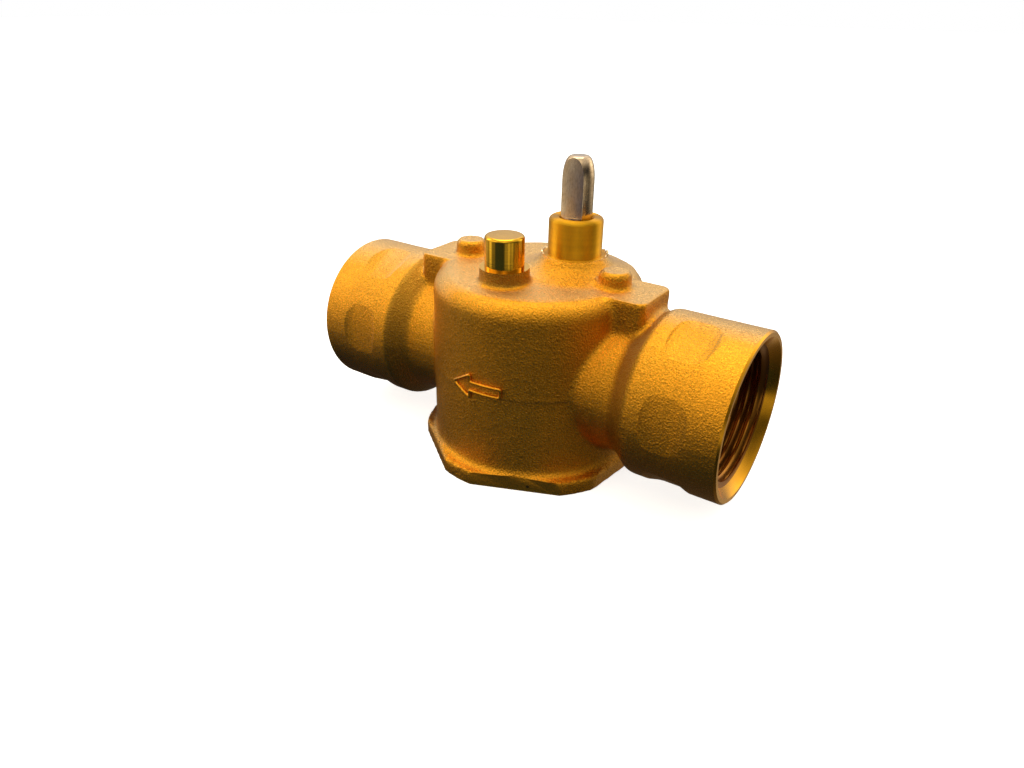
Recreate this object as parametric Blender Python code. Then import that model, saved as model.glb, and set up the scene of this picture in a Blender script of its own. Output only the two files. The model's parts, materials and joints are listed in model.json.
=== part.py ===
"""Two-way rotary zone valve: cast brass body, shoe on an eccentric stem, screwed base cap.

Origin: centre of the hexagonal foot, on its underside. +X points along the pipe to the inlet
port, +Z up along the stem. Sizes below are in millimetres and MM turns them into metres.
"""

import math

import bmesh
import bpy
from mathutils import Matrix

MM = 0.001

# Pipe run
PIPE_HEIGHT = 19.0            # pipe axis above the foot
HALF_LENGTH = 45.0            # centre to port face
RIM_RADIUS = 16.0
MOUTH_RADIUS = 14.4           # mouth chamfer at the port face
THREAD_RADIUS = 12.8          # mean radius of the female pipe thread
THREAD_START = 28.5           # inner end of the threaded bore
NECK_RADIUS = 13.2
NECK_BORE = 9.4
NECK_END = 23.7               # neck runs into the cone shoulder here
SHOULDER_END = 27.5
FLAT_APOTHEM = 15.4           # six spanner flats on each port
FLATS = (31.6, 38.8)
FLATS_TURN = math.radians(8)  # the flats stand a little round from level

# Chamber
DRUM_RADIUS = 20.85
DRUM_TOP_RADIUS = 20.5
DRUM_TOP = 37.5
DRUM_FILLET = 3.5
CHAMBER_RADIUS = 17.2
CHAMBER_CEILING = 34.5
FOOT_APOTHEM = 21.75
FOOT_CORNER = 23.2
FOOT_TURN = math.radians(-7)  # direction of the first foot flat
FOOT_THICKNESS = 2.9
CAP_BORE = 18.2
CAP_BORE_TOP = 6.6

# Actuator seat on top
REST_HEIGHT = 40.5            # bosses and the tower's turned shoulder share this plane
LUG_LENGTH = 25.3
LUG_HALF_WIDTH = 6.0
LUG_CHAMFER = 1.2
BOSS_OFFSET = 16.5
BOSS_RADIUS = 2.95
POST_X, POST_Y = -1.2, -10.0
POST_BOSS_RADIUS = 4.6
POST_RADIUS = 3.7
POST_TOP = 46.3
POST_CHAMFER = 0.6
TOWER_RADIUS = 5.2
TOWER_TOP = 47.8
TOWER_CHAMFER = 0.7
TOWER_BORE = 4.3
TOWER_LIP = 46.4              # the bore narrows to the stem above this height

# Stem and its seals, all on the stem axis
STEM_X, STEM_Y = 5.5, 3.9
STEM_RADIUS = 3.0
STEM_BOTTOM, STEM_TOP = 20.6, 59.0
BLADE_HALF = 2.0              # half the distance across the two flats
BLADE_BOTTOM = 48.0
TIP_RADIUS, TIP_LENGTH = 2.1, 2.6
COLLAR_RADIUS = 4.8
COLLAR = (32.0, 33.4)
GROOVE_RADIUS = 2.1
SEAL_HEIGHTS = (39.6, 42.6)
GROOVE_HALF = 1.0
SEAL_MAJOR, SEAL_MINOR = 3.2, 0.8
SLEEVE_INNER, SLEEVE_OUTER = 3.3, 4.0
LOWER_BUSH = (35.2, 38.2)
SPACER = (40.8, 41.4)
GLAND = (44.0, 46.1)
WASHER_RADIUS = 5.5
WASHER = (33.7, 34.2)

# Shoe, its arm and its stops, as angles about the stem axis
CLOSED_ANGLE = math.radians(194.7)
SWING = math.radians(60)
SHOE_INNER, SHOE_OUTER = 14.5, 17.0
SHOE_HALF_ANGLE = math.radians(29.3)
SHOE_HALF_HEIGHT = 8.8
CARRIER_INNER, CARRIER_OUTER = 12.6, 14.2
CARRIER_HALF_ANGLE = math.radians(27)
CARRIER_HALF_HEIGHT = 7.5
HUB_INNER, HUB_OUTER = 3.3, 5.4
HUB = (23.4, 31.5)
WEB_HALF_WIDTH = 1.8
SCREW_OFFSET = math.radians(19.5)
SCREW_RADIUS, SCREW_HOLE = 0.75, 1.05
PIN_HEIGHT = 27.0
PIN_RADIUS, PIN_HOLE, PIN_HALF = 0.9, 1.2, 5.0
CLIP = (22.4, 22.95)
STOP_RADIUS = 1.25
STOP_ARM = 9.0                # distance of each stop pin from the stem axis
STOP = (27.8, 36.2)
GAP = 0.3                     # clearance between neighbouring pieces

# Seat bush in the outlet neck
SEAT_OUTER, SEAT_BORE = 9.0, 7.0
SEAT_START = -27.5
SEAT_GROOVE = (-23.1, -21.1)
SEAT_GROOVE_RADIUS = 7.9
SEAT_SEAL = (8.6, 0.45)       # mean radius and half thickness

# Base cap in the underside
CAP_SOCKET = 7.0              # half across the flats of its hexagon socket
CAP_SEAL = (17.1, 0.6)
CAP_SEAL_HEIGHT = 5.4

FINE, ROUND, SMALL = 56, 40, 20   # sides of large, medium and small round pieces

ALONG_X = Matrix.Rotation(math.pi / 2, 4, "Y")


# ---------------------------------------------------------------- materials

def principled(name, colour, metallic, roughness):
    material = bpy.data.materials.new(name)
    material.use_nodes = True
    material.diffuse_color = (*colour, 1.0)
    shader = material.node_tree.nodes["Principled BSDF"]
    shader.inputs["Base Color"].default_value = (*colour, 1.0)
    shader.inputs["Metallic"].default_value = metallic
    shader.inputs["Roughness"].default_value = roughness
    return material


def make_materials():
    return {
        "cast_brass": principled("cast_brass", (0.72, 0.42, 0.10), 1.0, 0.48),
        "turned_brass": principled("turned_brass", (0.86, 0.58, 0.16), 1.0, 0.22),
        "stem_metal": principled("stem_metal", (0.46, 0.41, 0.35), 1.0, 0.25),
        "stainless": principled("stainless", (0.62, 0.61, 0.58), 1.0, 0.30),
        "seal_rubber": principled("seal_rubber", (0.02, 0.02, 0.02), 0.0, 0.60),
        "bearing_plastic": principled("bearing_plastic", (0.85, 0.84, 0.80), 0.0, 0.45),
    }


# ---------------------------------------------------------------- shape helpers

def mesh_object(name, shape):
    """Turn a bmesh in millimetres into a named object in metres."""
    bmesh.ops.recalc_face_normals(shape, faces=shape.faces)
    if shape.calc_volume(signed=True) < 0:
        bmesh.ops.reverse_faces(shape, faces=shape.faces)
    shape.transform(Matrix.Scale(MM, 4))
    mesh = bpy.data.meshes.new(name)
    shape.to_mesh(mesh)
    shape.free()
    item = bpy.data.objects.new(name, mesh)
    bpy.context.scene.collection.objects.link(item)
    return item


def turned(name, outline, sides, place=None, ring=False):
    """Spin an outline of (radius, height) points about Z. A ring's outline is closed.

    Sides are centred on the axes, so that the edges of crossing pieces don't coincide.
    """
    shape = bmesh.new()
    points = [shape.verts.new((radius, 0.0, height)) for radius, height in outline]
    pairs = list(zip(points, points[1:]))
    if ring:
        pairs.append((points[-1], points[0]))
    edges = [shape.edges.new(pair) for pair in pairs]
    bmesh.ops.spin(shape, geom=points + edges, cent=(0, 0, 0), axis=(0, 0, 1),
                   angle=2 * math.pi, steps=sides)
    bmesh.ops.remove_doubles(shape, verts=shape.verts, dist=1e-3)
    shape.transform(Matrix.Rotation(math.pi / sides, 4, "Z"))
    if place:
        shape.transform(place)
    return mesh_object(name, shape)


def rod(name, radius, bottom, top, sides, place=None):
    outline = [(0, bottom), (radius, bottom), (radius, top), (0, top)]
    return turned(name, outline, sides, place)


def sleeve(name, inner, outer, span, sides, place=None):
    outline = [(inner, span[0]), (outer, span[0]), (outer, span[1]), (inner, span[1])]
    return turned(name, outline, sides, place, ring=True)


def o_ring(name, major, minor, sides, place):
    section = 8
    outline = []
    for step in range(section):
        angle = 2 * math.pi * step / section
        outline.append((major + minor * math.cos(angle), minor * math.sin(angle)))
    return turned(name, outline, sides, place, ring=True)


def prism(name, outline, bottom, top, place=None):
    """Extrude a flat outline of (x, y) points from one height to another."""
    shape = bmesh.new()
    face = shape.faces.new([shape.verts.new((x, y, bottom)) for x, y in outline])
    lifted = bmesh.ops.extrude_face_region(shape, geom=[face])["geom"]
    corners = [part for part in lifted if isinstance(part, bmesh.types.BMVert)]
    bmesh.ops.translate(shape, verts=corners, vec=(0, 0, top - bottom))
    if place:
        shape.transform(place)
    return mesh_object(name, shape)


def block(name, low, high, place=None):
    outline = [(low[0], low[1]), (high[0], low[1]), (high[0], high[1]), (low[0], high[1])]
    return prism(name, outline, low[2], high[2], place)


def sector(name, inner, outer, middle, half_angle, bottom, top, steps):
    """An arc-shaped bar about the stem axis."""
    angles = [middle + half_angle * (2 * step / steps - 1) for step in range(steps + 1)]
    outline = [(outer * math.cos(angle), outer * math.sin(angle)) for angle in angles]
    outline += [(inner * math.cos(angle), inner * math.sin(angle)) for angle in reversed(angles)]
    return prism(name, outline, bottom, top, at_stem())


def arc(centre, radius, start, end, steps):
    """Points (radius, height) along a round of a turned outline, angles in degrees."""
    points = []
    for step in range(steps + 1):
        angle = math.radians(start + (end - start) * step / steps)
        points.append((centre[0] + radius * math.cos(angle), centre[1] + radius * math.sin(angle)))
    return points


def hexagon(apothem, turn):
    corner = apothem / math.cos(math.pi / 6)
    angles = [turn + math.pi / 6 + math.pi / 3 * side for side in range(6)]
    return [(corner * math.cos(angle), corner * math.sin(angle)) for angle in angles]


def at(x, y, z=0.0):
    return Matrix.Translation((x, y, z))


def at_stem(z=0.0, angle=0.0):
    return at(STEM_X, STEM_Y, z) @ Matrix.Rotation(angle, 4, "Z")


def on_pipe():
    """Place a piece turned about Z on the pipe axis instead."""
    return at(0, 0, PIPE_HEIGHT) @ ALONG_X


def radial(angle, z):
    """Place a piece turned about Z so that it points outward from the stem axis."""
    return at_stem(z, angle) @ ALONG_X


def combine(base, tools, operation):
    """Apply one exact Boolean for each tool, then remove the tools."""
    for tool in tools:
        modifier = base.modifiers.new(operation, "BOOLEAN")
        modifier.operation = operation
        modifier.object = tool
        modifier.solver = "EXACT"
        graph = bpy.context.evaluated_depsgraph_get()
        result = bpy.data.meshes.new_from_object(base.evaluated_get(graph))
        base.modifiers.clear()
        base.data = result
        bpy.data.objects.remove(tool)
    return base


def finish(item, material, smooth=35):
    """Give a piece its only material and smooth its round faces."""
    item.data.materials.clear()
    item.data.materials.append(material)
    for face in item.data.polygons:
        face.material_index = 0
    item.data.shade_smooth()
    item.data.set_sharp_from_angle(angle=math.radians(smooth))
    item.data.name = item.name
    return item


def set_origin(item, x, y, z):
    """Move a piece's origin to a point in millimetres without moving the piece."""
    offset = Matrix.Translation((x * MM, y * MM, z * MM))
    item.data.transform(offset.inverted())
    item.matrix_world = offset @ item.matrix_world


# ---------------------------------------------------------------- valve body

def drum():
    """Drum-shaped chamber on a hexagonal foot with rounded corners and a cast flare."""
    flare_radius = FOOT_CORNER - DRUM_RADIUS
    flare = arc((FOOT_CORNER, FOOT_THICKNESS + flare_radius), flare_radius, 270, 180, 4)
    edge = arc((DRUM_TOP_RADIUS - DRUM_FILLET, DRUM_TOP - DRUM_FILLET), DRUM_FILLET, 0, 90, 5)
    outline = [(0, 0), (FOOT_CORNER, 0)] + flare + edge + [(0, DRUM_TOP)]
    base = turned("drum", outline, FINE)
    hexagon_bar = prism("foot_hexagon", hexagon(FOOT_APOTHEM, FOOT_TURN), -1, DRUM_TOP + 1)
    return combine(base, [hexagon_bar], "INTERSECT")


def pipe_run():
    """Both necks, cone shoulders and ports as one bar turned about the pipe axis."""
    side = [(NECK_RADIUS, NECK_END), (RIM_RADIUS, SHOULDER_END),
            (RIM_RADIUS, HALF_LENGTH - 0.3), (RIM_RADIUS - 0.3, HALF_LENGTH), (0, HALF_LENGTH)]
    other_side = [(radius, -length) for radius, length in reversed(side)]
    return turned("pipe_run", other_side + side, ROUND, on_pipe())


def spanner_flats():
    """Cutters for six flats on each port."""
    cutters = []
    for direction in (-1, 1):
        for side in range(6):
            angle = math.pi / 3 * side - FLATS_TURN
            turn = at(0, 0, PIPE_HEIGHT) @ Matrix.Rotation(angle, 4, "X")
            near, far = sorted((direction * FLATS[0], direction * FLATS[1]))
            low, high = (near, -RIM_RADIUS - 2, -12.0), (far, -FLAT_APOTHEM, 12.0)
            cutters.append(block("flat_cutter", low, high, turn))
    return cutters


def lug(direction):
    """Block from the chamber wall out over the neck, with its outer corners cut off."""
    inner, outer = 8.0, LUG_LENGTH
    side = [(inner, LUG_HALF_WIDTH), (outer - LUG_CHAMFER, LUG_HALF_WIDTH),
            (outer, LUG_HALF_WIDTH - LUG_CHAMFER)]
    outline = [(direction * x, -y) for x, y in side] + [(direction * x, y) for x, y in side[::-1]]
    return prism("lug", outline, PIPE_HEIGHT + 9.0, DRUM_TOP - 0.1)


def boss_side(radius):
    """The drafted side and rounded top edge of a cast boss."""
    return [(0, DRUM_TOP - 1), (radius + 0.2, DRUM_TOP - 1), (radius, REST_HEIGHT - 0.5),
            (radius - 0.4, REST_HEIGHT)]


def rest_boss(direction):
    return turned("boss", boss_side(BOSS_RADIUS) + [(0, REST_HEIGHT)], SMALL,
                  at(direction * BOSS_OFFSET, 0))


def post():
    """A turned locating post on its own cast boss."""
    outline = boss_side(POST_BOSS_RADIUS)
    outline += [(POST_RADIUS, REST_HEIGHT), (POST_RADIUS, POST_TOP - POST_CHAMFER),
                (POST_RADIUS - POST_CHAMFER, POST_TOP), (0, POST_TOP)]
    return turned("post", outline, SMALL, at(POST_X, POST_Y))


def tower():
    """Stem tower: a wide cast flare, a turned shoulder and a turned barrel with a chamfer."""
    flare = [(11.2, 37.1), (10.6, 37.8), (8.9, 38.5), (7.3, 39.3), (6.3, REST_HEIGHT)]
    outline = [(0, 36.5), (11.2, 36.5)] + flare
    outline += [(TOWER_RADIUS, REST_HEIGHT), (TOWER_RADIUS, TOWER_TOP - TOWER_CHAMFER),
                (TOWER_RADIUS - TOWER_CHAMFER, TOWER_TOP), (0, TOWER_TOP)]
    return turned("tower", outline, ROUND, at_stem())


def chamber_bore():
    outline = [(0, -1), (CAP_BORE, -1), (CAP_BORE, CAP_BORE_TOP), (CHAMBER_RADIUS, CAP_BORE_TOP),
               (CHAMBER_RADIUS, CHAMBER_CEILING), (0, CHAMBER_CEILING)]
    return turned("chamber_bore", outline, FINE)


def pipe_bore():
    side = [(NECK_BORE, THREAD_START), (THREAD_RADIUS, THREAD_START),
            (THREAD_RADIUS, HALF_LENGTH - 1.6), (MOUTH_RADIUS, HALF_LENGTH),
            (MOUTH_RADIUS, HALF_LENGTH + 1), (0, HALF_LENGTH + 1)]
    other_side = [(radius, -length) for radius, length in reversed(side)]
    return turned("pipe_bore", other_side + side, ROUND, on_pipe())


def stop_places():
    """Centres of the closed and open stop pins, just clear of the arm at each limit."""
    clear = math.asin((WEB_HALF_WIDTH + STOP_RADIUS + GAP) / STOP_ARM)
    angles = {"closed": CLOSED_ANGLE - clear, "open": CLOSED_ANGLE + SWING + clear}
    places = {}
    for name, angle in angles.items():
        places[name] = (STEM_X + STOP_ARM * math.cos(angle), STEM_Y + STOP_ARM * math.sin(angle))
    return places


def hollow():
    """Everything machined out of the casting: chamber, pipe run, stem bore and stop holes."""
    stem_bore = [(0, CHAMBER_CEILING - 1), (TOWER_BORE, CHAMBER_CEILING - 1),
                 (TOWER_BORE, TOWER_LIP), (SLEEVE_INNER, TOWER_LIP), (SLEEVE_INNER, TOWER_TOP + 1),
                 (0, TOWER_TOP + 1)]
    holes = [pipe_bore(), turned("stem_bore", stem_bore, SMALL, at_stem())]
    for x, y in stop_places().values():
        holes.append(rod("stop_hole", STOP_RADIUS + GAP, CHAMBER_CEILING - 1, STOP[1] + GAP, 12,
                         at(x, y)))
    return combine(chamber_bore(), holes, "UNION")


def valve_body():
    solids = [pipe_run(), lug(-1), lug(1), rest_boss(-1), rest_boss(1), tower(), post()]
    body = combine(drum(), solids, "UNION")
    body.name = "valve_body"
    return combine(body, spanner_flats() + [hollow()], "DIFFERENCE")


# ---------------------------------------------------------------- fixed fittings

def base_cap():
    outline = [(0, 0.4), (17.3, 0.4), (17.8, 0.9), (17.8, 4.3), (16.2, 4.3), (16.2, 6.1),
               (15.9, 6.4), (13.5, 6.4), (12.8, 4.6), (0, 4.6)]
    cap = turned("base_cap", outline, FINE)
    socket = prism("socket", hexagon(CAP_SOCKET, 0.0), -1.0, 2.4)
    return combine(cap, [socket], "DIFFERENCE")


def seat_bush():
    outline = [(SEAT_BORE, SEAT_START), (SEAT_OUTER - 0.5, SEAT_START),
               (SEAT_OUTER, SEAT_START + 0.5), (SEAT_OUTER, SEAT_GROOVE[0]),
               (SEAT_GROOVE_RADIUS, SEAT_GROOVE[0]), (SEAT_GROOVE_RADIUS, SEAT_GROOVE[1]),
               (SEAT_OUTER, SEAT_GROOVE[1]), (SEAT_OUTER, -2.0), (SEAT_BORE, -2.0)]
    bush = turned("seat_bush", outline, ROUND, on_pipe(), ring=True)
    sweep = rod("sweep", SHOE_OUTER + GAP, 5.0, 33.0, FINE, at_stem())
    return combine(bush, [sweep], "DIFFERENCE")


def stop_pin(name, place):
    tip = 0.3
    outline = [(0, STOP[0]), (STOP_RADIUS - tip, STOP[0]), (STOP_RADIUS, STOP[0] + tip),
               (STOP_RADIUS, STOP[1]), (0, STOP[1])]
    return turned(name, outline, 16, at(*place))


def make_fixed(materials):
    finish(valve_body(), materials["cast_brass"])
    finish(base_cap(), materials["turned_brass"])
    finish(o_ring("base_cap_seal", *CAP_SEAL, ROUND, at(0, 0, CAP_SEAL_HEIGHT)),
           materials["seal_rubber"])
    finish(seat_bush(), materials["turned_brass"])
    seat_seal_place = at((SEAT_GROOVE[0] + SEAT_GROOVE[1]) / 2, 0) @ on_pipe()
    finish(o_ring("seat_seal", *SEAT_SEAL, ROUND, seat_seal_place), materials["seal_rubber"])
    finish(sleeve("lower_bush", SLEEVE_INNER, SLEEVE_OUTER, LOWER_BUSH, SMALL, at_stem()),
           materials["bearing_plastic"])
    finish(sleeve("upper_bush", SLEEVE_INNER, SLEEVE_OUTER, GLAND, SMALL, at_stem()),
           materials["turned_brass"])
    for name, place in stop_places().items():
        finish(stop_pin("stop_pin_" + name, place), materials["stainless"])


# ---------------------------------------------------------------- stem and shoe

def valve_stem():
    """Stem with collar, seal grooves, clip groove, cross hole and a flatted drive blade."""
    outline = [(0, STEM_BOTTOM), (STEM_RADIUS - 0.4, STEM_BOTTOM), (STEM_RADIUS, STEM_BOTTOM + 0.4)]
    grooves = [(CLIP[0] - 0.3, CLIP[1] + 0.2)]
    grooves += [(height - GROOVE_HALF, height + GROOVE_HALF) for height in SEAL_HEIGHTS]
    for index, (bottom, top) in enumerate(grooves):
        outline += [(STEM_RADIUS, bottom), (GROOVE_RADIUS, bottom)]
        outline += [(GROOVE_RADIUS, top), (STEM_RADIUS, top)]
        if index == 0:
            outline += [(STEM_RADIUS, COLLAR[0]), (COLLAR_RADIUS, COLLAR[0])]
            outline += [(COLLAR_RADIUS, COLLAR[1]), (STEM_RADIUS, COLLAR[1])]
    outline += [(STEM_RADIUS, STEM_TOP - TIP_LENGTH), (TIP_RADIUS, STEM_TOP - 0.2)]
    outline += [(TIP_RADIUS - 0.2, STEM_TOP), (0, STEM_TOP)]
    stem = turned("valve_stem", outline, SMALL, at_stem())
    cutters = []
    for side in (-1, 1):
        near, far = sorted((side * BLADE_HALF, side * (STEM_RADIUS + 1)))
        cutters.append(block("blade_cutter", (-4, near, BLADE_BOTTOM), (4, far, STEM_TOP + 1),
                             at_stem()))
    cross = radial(CLOSED_ANGLE + math.pi / 2, PIN_HEIGHT)
    cutters.append(rod("cross_hole", PIN_HOLE, -6, 6, 12, cross))
    return combine(stem, cutters, "DIFFERENCE")


def shoe_arm():
    """Hub, web and curved carrier that hold the shoe against the seat."""
    hub = sleeve("shoe_arm", HUB_INNER, HUB_OUTER, HUB, SMALL, at_stem())
    web_outline = [(4.4, 30.9), (10.6, 30.9), (13.4, 26.0), (13.4, 12.5), (11.6, 13.8),
                   (9.6, 20.0), (4.4, 24.0)]
    upright = at_stem(0, CLOSED_ANGLE) @ Matrix.Rotation(math.pi / 2, 4, "X")
    web = prism("web", web_outline, -WEB_HALF_WIDTH, WEB_HALF_WIDTH, upright)
    carrier = sector("carrier", CARRIER_INNER, CARRIER_OUTER, CLOSED_ANGLE, CARRIER_HALF_ANGLE,
                     PIPE_HEIGHT - CARRIER_HALF_HEIGHT, PIPE_HEIGHT + CARRIER_HALF_HEIGHT, 8)
    arm = combine(hub, [web, carrier], "UNION")
    bore = rod("hub_bore", HUB_INNER, HUB[0] - 1, HUB[1] + 1, SMALL, at_stem())
    cross = rod("cross_hole", PIN_HOLE, -7, 7, 12, radial(CLOSED_ANGLE + math.pi / 2, PIN_HEIGHT))
    screw_holes = []
    for side in (-1, 1):
        place = radial(CLOSED_ANGLE + side * SCREW_OFFSET, PIPE_HEIGHT)
        screw_holes.append(rod("screw_hole", SCREW_HOLE, 11, 16, 12, place))
    return combine(arm, [bore, cross] + screw_holes, "DIFFERENCE")


def shoe_pad():
    pad = sector("shoe_pad", SHOE_INNER, SHOE_OUTER, CLOSED_ANGLE, SHOE_HALF_ANGLE,
                 PIPE_HEIGHT - SHOE_HALF_HEIGHT, PIPE_HEIGHT + SHOE_HALF_HEIGHT, 14)
    screw_holes = []
    for side in (-1, 1):
        place = radial(CLOSED_ANGLE + side * SCREW_OFFSET, PIPE_HEIGHT)
        screw_holes.append(rod("screw_hole", SCREW_HOLE, 13, 16.3, 12, place))
    return combine(pad, screw_holes, "DIFFERENCE")


def shoe_screw(name, side):
    outline = [(0, 10.8), (1.1, 10.8), (1.4, 11.1), (1.4, 12.2), (SCREW_RADIUS, 12.2),
               (SCREW_RADIUS, 16.0), (0, 16.0)]
    place = radial(CLOSED_ANGLE + side * SCREW_OFFSET, PIPE_HEIGHT)
    screw = turned(name, outline, 16, place)
    slot = block("slot", (-0.25, -3.0, 9.0), (0.25, 3.0, 11.3), place)
    return combine(screw, [slot], "DIFFERENCE")


def stem_clip():
    """Open retaining ring in the groove at the stem's lower end."""
    ring = sleeve("stem_clip", GROOVE_RADIUS + GAP, HUB_OUTER - 0.6, CLIP, SMALL, at_stem())
    mouth = block("mouth", (0, -1.9, CLIP[0] - 1), (8, 1.9, CLIP[1] + 1), at_stem())
    return combine(ring, [mouth], "DIFFERENCE")


def make_moving(materials):
    steel, rubber = materials["stainless"], materials["seal_rubber"]
    pieces = [finish(valve_stem(), materials["stem_metal"]),
              finish(shoe_arm(), materials["turned_brass"]),
              finish(shoe_pad(), rubber),
              finish(shoe_screw("shoe_screw_left", -1), steel),
              finish(shoe_screw("shoe_screw_right", 1), steel),
              finish(stem_clip(), steel)]
    cross = radial(CLOSED_ANGLE + math.pi / 2, PIN_HEIGHT)
    pieces.append(finish(rod("arm_pin", PIN_RADIUS, -PIN_HALF, PIN_HALF, 16, cross), steel))
    for name, height in zip(("stem_seal_lower", "stem_seal_upper"), SEAL_HEIGHTS):
        ring = o_ring(name, SEAL_MAJOR, SEAL_MINOR, SMALL, at_stem(height))
        pieces.append(finish(ring, rubber))
    pieces.append(finish(sleeve("seal_spacer", SLEEVE_INNER, SLEEVE_OUTER, SPACER, SMALL,
                                at_stem()), materials["bearing_plastic"]))
    pieces.append(finish(sleeve("thrust_washer", SLEEVE_INNER, WASHER_RADIUS, WASHER, SMALL,
                                at_stem()), materials["bearing_plastic"]))
    for piece in pieces:
        set_origin(piece, STEM_X, STEM_Y, PIPE_HEIGHT)


def main():
    for item in list(bpy.data.objects):
        bpy.data.objects.remove(item)
    materials = make_materials()
    make_fixed(materials)
    make_moving(materials)


main()
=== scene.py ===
import json
import math

import bmesh
import bpy
import numpy as np
from mathutils import Matrix, Vector


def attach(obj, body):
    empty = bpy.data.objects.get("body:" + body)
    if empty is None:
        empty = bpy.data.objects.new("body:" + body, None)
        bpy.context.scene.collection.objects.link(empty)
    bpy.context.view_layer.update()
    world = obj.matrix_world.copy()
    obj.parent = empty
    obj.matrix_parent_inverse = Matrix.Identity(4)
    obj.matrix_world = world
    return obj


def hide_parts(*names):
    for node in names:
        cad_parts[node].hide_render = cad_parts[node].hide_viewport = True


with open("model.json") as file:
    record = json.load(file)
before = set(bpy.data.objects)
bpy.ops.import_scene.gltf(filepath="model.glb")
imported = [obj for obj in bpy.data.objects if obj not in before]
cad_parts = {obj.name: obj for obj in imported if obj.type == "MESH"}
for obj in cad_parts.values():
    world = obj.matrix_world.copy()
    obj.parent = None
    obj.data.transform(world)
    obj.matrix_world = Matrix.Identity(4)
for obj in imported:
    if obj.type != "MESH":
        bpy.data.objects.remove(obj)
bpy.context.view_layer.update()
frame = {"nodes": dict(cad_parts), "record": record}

MM = 0.001

# Sizes in millimetres, in the frame's axes: +X along the pipe, +Z up the stem.
PIPE_HEIGHT = 19.0
HALF_LENGTH = 45.0
RIM_RADIUS = 16.0
RIM_CHAMFER = 0.35
MOUTH_RADIUS = 14.9
MOUTH_DEPTH = 1.6
THREAD_MAJOR, THREAD_MINOR = 13.25, 12.15
THREAD_PITCH = 1.814
THREAD_START, THREAD_RUNOUT = 28.5, 2.5
NECK_RADIUS = 13.2
NECK_BORE, NECK_DRILL_END = 9.4, 6.0
NECK_END, SHOULDER_END = 23.7, 27.5
FLAT_APOTHEM = 15.2
FLATS = (31.6, 38.8)
FLATS_TURN = math.radians(8)  # flats stand a little round from level
# How a flat's floor rises near its outer and inner ends: (distance past the end, height).
FLAT_OUTER_RISE = ((0.75, 1.0), (-0.4, 0.42), (-1.5, 0.12), (-2.5, 0.0))
FLAT_INNER_RISE = ((1.0, 0.0), (0.2, 0.12), (-0.6, 0.45), (-1.3, 1.0))
PORT_SKIN = 0.8               # left on each port's face for machining
PORT_SIDES = 96

DRUM_RADIUS, DRUM_TOP_RADIUS = 20.85, 20.5
DRUM_TOP = 37.5
DRUM_FILLET = 3.5
# Side of the cast flare at the tower's foot: (radius, height).
TOWER_FLARE = ((12.2, 36.5), (12.2, 37.35), (10.6, 37.85), (8.9, 38.45), (7.4, 39.25),
               (6.5, 40.1), (6.2, 40.9))
CHAMBER_RADIUS, CHAMBER_CEILING = 17.2, 34.5
FOOT_APOTHEM, FOOT_CORNER = 21.75, 23.2
FOOT_TURN = math.radians(-7)
FOOT_THICKNESS = 2.9
FLARE_REACH, FLARE_HEIGHT = 21.3, 2.6
FOOT_SKIN = 0.6               # left under the foot for machining
FOOT_BLOCK = (24.6, 13.0)     # outer face and half width of the blocks that trim the foot
MILLED_SIDES = (2, 5)         # the foot's two trimmed flats
MILLED_DEPTH = 0.35
CAP_BORE, CAP_BORE_TOP = 18.2, 6.6

REST_HEIGHT = 40.5
LUG_LENGTH, LUG_HALF_WIDTH, LUG_CORNER = 25.3, 6.0, 1.0
LUG_ROOT, LUG_BOTTOM, LUG_TOP = 8.0, 28.0, 37.4
BOSS_OFFSET, BOSS_RADIUS = 16.5, 2.95
POST_X, POST_Y = -1.2, -10.0
POST_BOSS_RADIUS, POST_RADIUS = 4.6, 3.7
POST_TOP, POST_CHAMFER = 46.3, 0.6
STEM_X, STEM_Y = 5.5, 3.9
TOWER_RADIUS, TOWER_TOP, TOWER_CHAMFER = 5.2, 47.8, 0.7
TOWER_BORE, TOWER_LIP, STEM_HOLE = 4.3, 46.4, 3.25
SHOULDER_HEIGHT, SHOULDER_RING = 40.7, 6.4    # the ring faced round the tower's foot
BURR_RADIUS, BURR_SPREAD = 6.0, 38.0          # spread in degrees to each side
BURRS = ((212, 0.95, 3), (26, 0.75, 5))       # azimuth in degrees, height, random seed
STOP_HOLES = ((-3.4, 5.3), (6.8, -5.0))
STOP_HOLE_RADIUS, STOP_HOLE_SPAN = 1.5, (33.0, 36.5)

STEM_RADIUS, STEM_BOTTOM, STEM_TOP = 3.0, 20.6, 59.0
STEM_TIP_RADIUS, STEM_TIP_LENGTH = 1.25, 4.4
BLADE_HALF, BLADE_BOTTOM = 2.0, 48.0
COLLAR_RADIUS, COLLAR = 4.8, (32.0, 33.4)
GROOVE_RADIUS, GROOVES = 2.1, ((22.1, 23.15), (38.6, 40.6), (41.6, 43.6))
CLOSED_ANGLE = math.radians(194.7)
PIN_HEIGHT, PIN_HOLE = 27.0, 1.2
STEM_EDGE = 0.12              # round on the stem's edges

VOXEL, ARROW_VOXEL = 0.45, 0.13    # grids of the cast surface and of the arrow
SMALLEST_CAP = 0.02           # a turned outline's end on the axis becomes a cap this size
HOLLOW = 0.0035               # inner corners that pull further out than this are filled


# ---------------------------------------------------------------- shape helpers

def place_at(x, y, z=0.0):
    return Matrix.Translation((x, y, z))


def laid_down(direction=1):
    """Turns Z to point along X, one way or the other."""
    return Matrix.Rotation(direction * math.pi / 2, 4, "Y")


def on_pipe(direction=1):
    """Turn a shape spun about Z to lie along the pipe, +Z going to one port."""
    return place_at(0, 0, PIPE_HEIGHT) @ laid_down(direction)


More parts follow.
